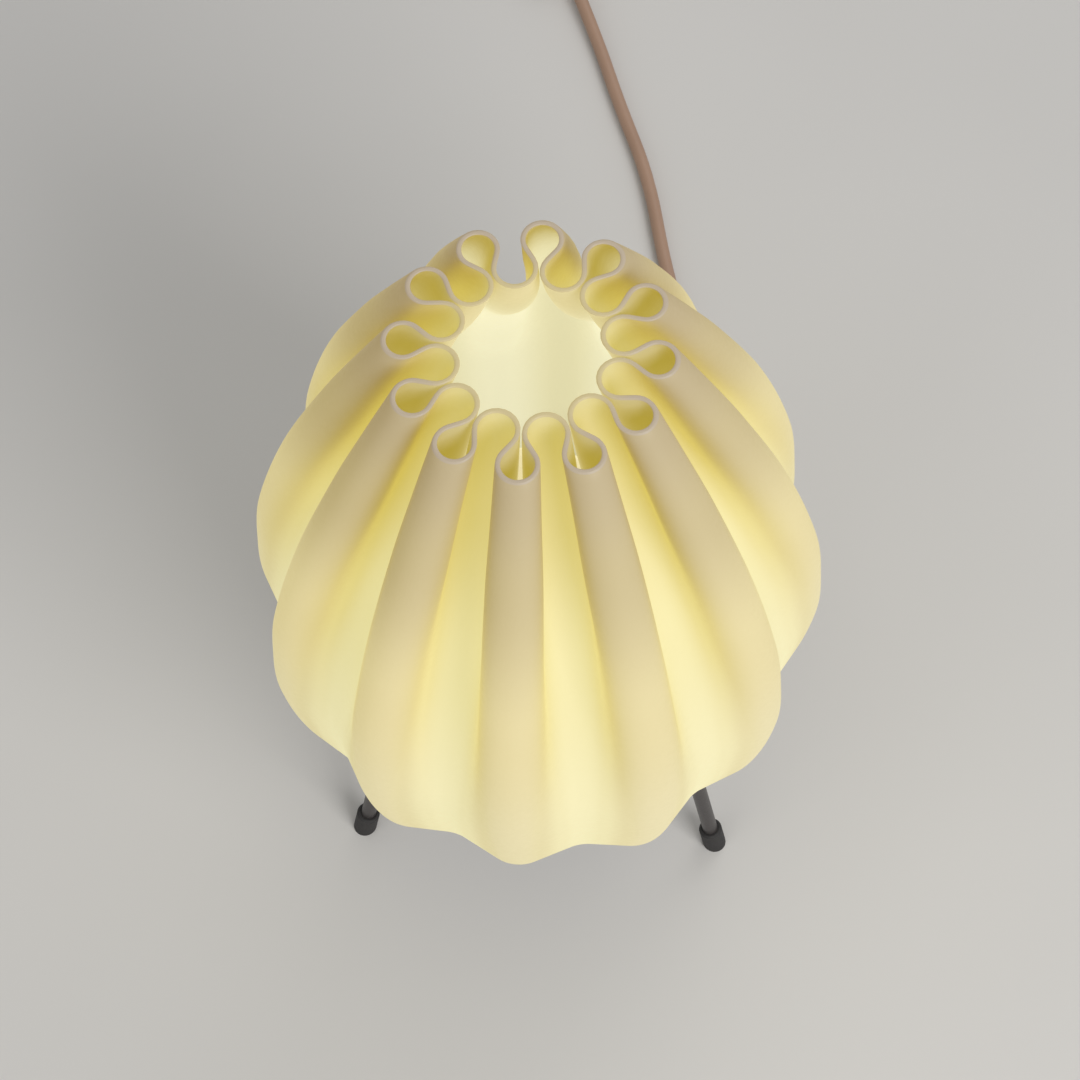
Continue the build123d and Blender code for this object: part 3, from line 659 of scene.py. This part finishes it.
def build_ring_tree(material):
    """Geometry nodes that set a ruffle in a ring and weld its neighbours together."""
    tree = bpy.data.node_groups.new("ruffles_in_a_ring", "GeometryNodeTree")
    face = tree.interface
    face.new_socket("Ruffle", in_out="INPUT", socket_type="NodeSocketGeometry")
    count = face.new_socket("Ruffle Count", in_out="INPUT", socket_type="NodeSocketInt")
    turned = face.new_socket("First Angle", in_out="INPUT", socket_type="NodeSocketFloat")
    weld = face.new_socket("Weld Distance", in_out="INPUT", socket_type="NodeSocketFloat")
    face.new_socket("Shade", in_out="OUTPUT", socket_type="NodeSocketGeometry")
    given = tree.nodes.new("NodeGroupInput").outputs
    points = add_node(tree, "GeometryNodePoints")
    feed(tree, points.inputs["Count"], given["Ruffle Count"])
    index = tree.nodes.new("GeometryNodeInputIndex").outputs["Index"]
    step = calculate(tree, "DIVIDE", 2 * pi, given["Ruffle Count"])
    angle = calculate(tree, "MULTIPLY_ADD", index, step, given["First Angle"])
    turn = tree.nodes.new("ShaderNodeCombineXYZ")
    feed(tree, turn.inputs["Z"], angle)
    ring = tree.nodes.new("GeometryNodeInstanceOnPoints")
    feed(tree, ring.inputs["Points"], points.outputs[0])
    feed(tree, ring.inputs["Instance"], given["Ruffle"])
    feed(tree, ring.inputs["Rotation"], turn.outputs["Vector"])
    real = tree.nodes.new("GeometryNodeRealizeInstances")
    feed(tree, real.inputs[0], ring.outputs[0])
    merged = tree.nodes.new("GeometryNodeMergeByDistance")
    feed(tree, merged.inputs["Geometry"], real.outputs[0])
    feed(tree, merged.inputs["Distance"], given["Weld Distance"])
    smooth = tree.nodes.new("GeometryNodeSetShadeSmooth")
    feed(tree, smooth.inputs["Geometry"], merged.outputs[0])
    painted = tree.nodes.new("GeometryNodeSetMaterial")
    feed(tree, painted.inputs["Geometry"], smooth.outputs[0])
    feed(tree, painted.inputs["Material"], material)
    feed(tree, tree.nodes.new("NodeGroupOutput").inputs[0], painted.outputs[0])
    values = {
        count.identifier: lobe_count,
        turned.identifier: -pi / 2,
        weld.identifier: weld_distance,
    }
    return tree, values


# Heights in metres between which one glow passes into the next
rim_to_upper = (0.335, 0.295)
upper_to_middle = (0.3, 0.24)
middle_to_lower = (0.235, 0.165)
pocket_to_deep = (0.335, 0.245)
# Heights over which the painted glow dims towards the foot, and its share there and above
foot_dimming = (0.086, 0.125, 0.6, 1.0)
# Shares of the way through the wall, which is 0 outside and 1 inside
outside_to_rim = (0.0, 0.3)
rim_to_inside = (0.7, 1.0)


def lit_shade_plastic():
    """Thin cream plastic with the bulb's light through it painted on as a glow, brighter in the
    valleys and inside than on the crests.
    """
    material, tree, shader = new_material("lit_shade_plastic")
    fold = add_node(tree, "ShaderNodeAttribute", attribute_name="fold").outputs["Fac"]
    inside = add_node(tree, "ShaderNodeAttribute", attribute_name="inside").outputs["Fac"]
    z = object_height(tree)
    # Four bands of the wall outside, each with its painted glow at a crest and in a valley,
    # where the crests get less light than the valleys
    rim_band = ramp(
        tree,
        fold,
        [
            (0.0, (0.21, 0.135, 0.012)),
            (0.25, (0.19, 0.12, 0.005)),
            (0.5, (0.27, 0.19, 0.012)),
            (1.0, (0.42, 0.35, 0.06)),
        ],
    )
    upper_band = ramp(
        tree,
        fold,
        [
            (0.0, (0.29, 0.21, 0.03)),
            (0.3, (0.25, 0.175, 0.01)),
            (0.6, (0.4, 0.32, 0.045)),
            (1.0, (0.48, 0.41, 0.11)),
        ],
    )
    middle_band = ramp(
        tree,
        fold,
        [
            (0.0, (0.48, 0.395, 0.13)),
            (0.35, (0.44, 0.355, 0.075)),
            (0.7, (0.51, 0.44, 0.13)),
            (1.0, (0.56, 0.51, 0.2)),
        ],
    )
    lower_band = ramp(
        tree,
        fold,
        [
            (0.0, (0.49, 0.425, 0.19)),
            (0.4, (0.48, 0.415, 0.16)),
            (0.8, (0.56, 0.51, 0.23)),
            (1.0, (0.59, 0.545, 0.26)),
        ],
    )
    outer_glow = mix_colours(tree, remap(tree, z, *rim_to_upper), rim_band, upper_band)
    outer_glow = mix_colours(tree, remap(tree, z, *upper_to_middle), outer_glow, middle_band)
    outer_glow = mix_colours(tree, remap(tree, z, *middle_to_lower), outer_glow, lower_band)
    # Inside, the painted glow is dimmer in the pockets of the lobes at the rim than on the wall
    # deep down, as painted shade
    pocket_glow = ramp(
        tree,
        fold,
        [
            (0.0, (0.24, 0.175, 0.004)),
            (0.45, (0.28, 0.215, 0.012)),
            (1.0, (0.42, 0.36, 0.16)),
        ],
    )
    deep_glow = ramp(tree, fold, [(0.0, (0.52, 0.5, 0.31)), (1.0, (0.61, 0.6, 0.42))])
    inner_glow = mix_colours(tree, remap(tree, z, *pocket_to_deep), pocket_glow, deep_glow)
    # The rim's painted glow is mauve round the lobes and paler where a valley turns in
    rim_glow = ramp(tree, fold, [(0.35, (0.2, 0.14, 0.08)), (0.95, (0.31, 0.235, 0.055))])
    glow = mix_colours(tree, remap(tree, inside, *outside_to_rim), outer_glow, rim_glow)
    glow = mix_colours(tree, remap(tree, inside, *rim_to_inside), glow, inner_glow)
    # Painted shade: the glow dims towards the foot of the shade
    glow = brighten(tree, glow, remap(tree, z, *foot_dimming))
    wear_surface(
        tree,
        shader,
        moulded_grain,
        (0.34, 0.31, 0.25),
        0.5,
        cloud_scale=9.0,
        grain_scale=520.0,
        tone_change=0.1,
        grain_depth=0.06,
    )
    feed(tree, shader.inputs["Emission Color"], glow)
    shader.inputs["Emission Strength"].default_value = 1.0
    return material


def plain_mesh(source, name):
    """New object at the origin with the evaluated mesh of another, which is removed."""
    evaluated = source.evaluated_get(bpy.context.evaluated_depsgraph_get())
    mesh = bpy.data.meshes.new_from_object(evaluated)
    mesh.name = name
    bpy.data.objects.remove(source)
    return add_object(name, mesh)


shade_material = lit_shade_plastic()
ring_tree, ring_values = build_ring_tree(shade_material)
ruffle = add_object("one_ruffle", build_ruffle())
ring = ruffle.modifiers.new("ring", "NODES")
ring.node_group = ring_tree
for identifier, value in ring_values.items():
    ring[identifier] = value
shade = plain_mesh(ruffle, "ruffled_shade")
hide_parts("shade")
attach(shade, "shade")


# The bulb's lit globe, with heights in metres between which it turns bright

globe_brightening = (0.183, 0.215)


def lit_opal():
    """Opal cover of the bulb, brightest over the board and softer at its rim."""
    material, tree, shader = new_material("lit_opal")
    rise = remap(tree, object_height(tree), *globe_brightening)
    glow = ramp(tree, rise, [(0.0, (0.2, 0.15, 0.07)), (1.0, (0.42, 0.36, 0.2))])
    wear_surface(tree, shader, moulded_grain, (0.52, 0.49, 0.42), 0.35, grain_depth=0.03)
    feed(tree, shader.inputs["Emission Color"], glow)
    shader.inputs["Emission Strength"].default_value = 1.0
    return material


dress("bulb_globe", lit_opal())


# Studio: pale floor, soft lamps and an even pale sky


def pale_floor():
    """Plain pale floor that keeps the lamp's shadow."""
    material, tree, shader = new_material("pale_floor")
    mottle = noise(tree, object_place(tree), scale=4.0)
    tone = ramp(tree, mottle, [(0.3, (0.67, 0.65, 0.62)), (0.7, (0.69, 0.67, 0.64))])
    feed(tree, shader.inputs["Base Color"], tone)
    shader.inputs["Roughness"].default_value = 0.8
    return material


floor_reach = 6.0
floor_drop = 0.0002
floor_corners = [
    (x * floor_reach, y * floor_reach, -floor_drop)
    for x, y in ((-1, -1), (1, -1), (1, 1), (-1, 1))
]
floor_mesh = bpy.data.meshes.new("floor")
floor_mesh.from_pydata(floor_corners, [], [(0, 1, 2, 3)])
floor_mesh.materials.append(pale_floor())
floor = add_object("floor", floor_mesh)

lamp_aim = Vector((0.0, 0.0, 0.15))
for name, place, size, power in (
    ("key_lamp", (1.4, -1.45, 1.65), 1.4, 37.0),
    ("fill_lamp", (-1.3, -1.6, 1.3), 1.8, 7.0),
    ("back_lamp", (0.5, 1.7, 1.6), 1.4, 8.0),
):
    lamp = bpy.data.lights.new(name, "AREA")
    lamp.size = size
    lamp.energy = power
    holder = add_object(name, lamp)
    holder.location = place
    towards = lamp_aim - Vector(place)
    holder.rotation_euler = towards.to_track_quat("-Z", "Y").to_euler()

world = bpy.data.worlds.new("studio")
bpy.context.scene.world = world
world.use_nodes = True
sky = world.node_tree.nodes["Background"]
sky.inputs["Color"].default_value = (0.9, 0.92, 0.95, 1.0)
sky.inputs["Strength"].default_value = 0.4

bpy.context.scene.view_settings.view_transform = "Standard"
